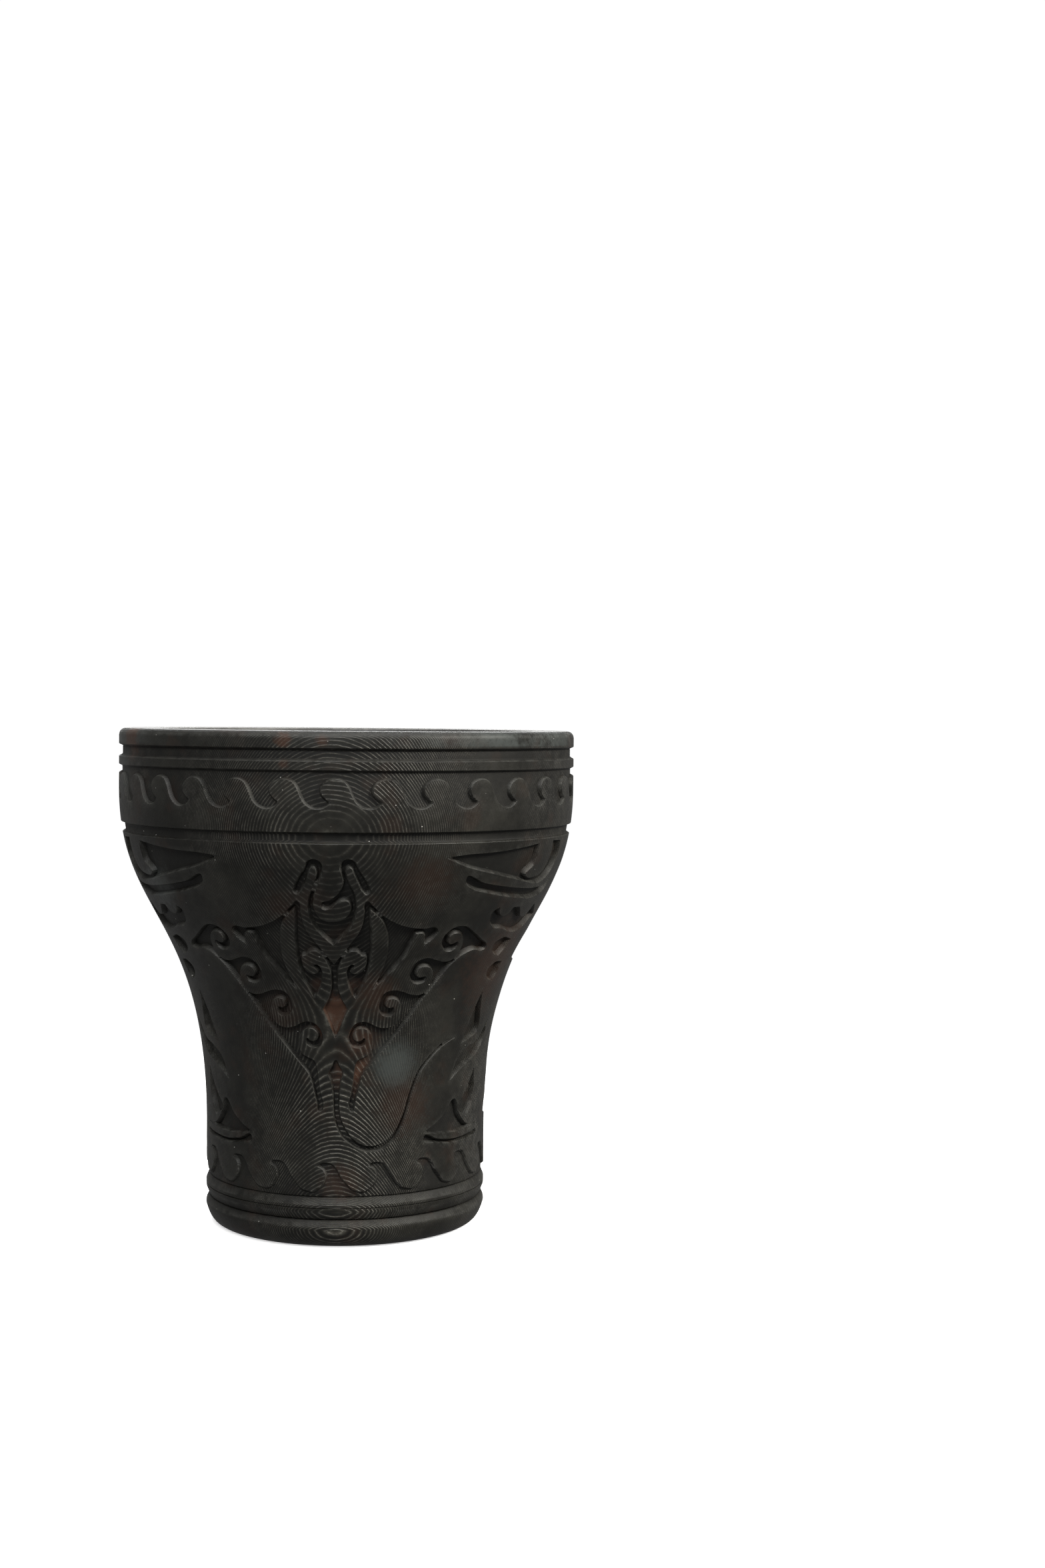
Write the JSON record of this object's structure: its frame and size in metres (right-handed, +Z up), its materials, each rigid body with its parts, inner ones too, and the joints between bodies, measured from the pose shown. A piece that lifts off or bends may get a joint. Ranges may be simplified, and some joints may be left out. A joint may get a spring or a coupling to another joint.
{
  "type": "hookah bowl",
  "caption": "Flared black clay hookah bowl with turned bands, carved wave and ray ornament, a holed cup and a silicone stem seal in its socket.",
  "frame": {"origin": "middle of the flat foot ring, on the surface that the bowl stands on", "axes": "+Z up along the turning axis, -Y towards the front where the ray is carved, +X to the right of the front"},
  "size_m": [0.08, 0.08, 0.0867],
  "materials": {
    "black_clay": "semi-matt burnished black clay with fine tool marks",
    "silicone": "matt black moulded silicone"
  },
  "bodies": {
    "bowl": {"clay_bowl": "black_clay"},
    "seal": {"stem_seal": "silicone"}
  },
  "joints": [
    {"name": "seal_slide", "type": "slide", "parent": "bowl", "child": "seal", "axis": [0, 0, -1], "range_m": [0, 0.0088]}
  ]
}
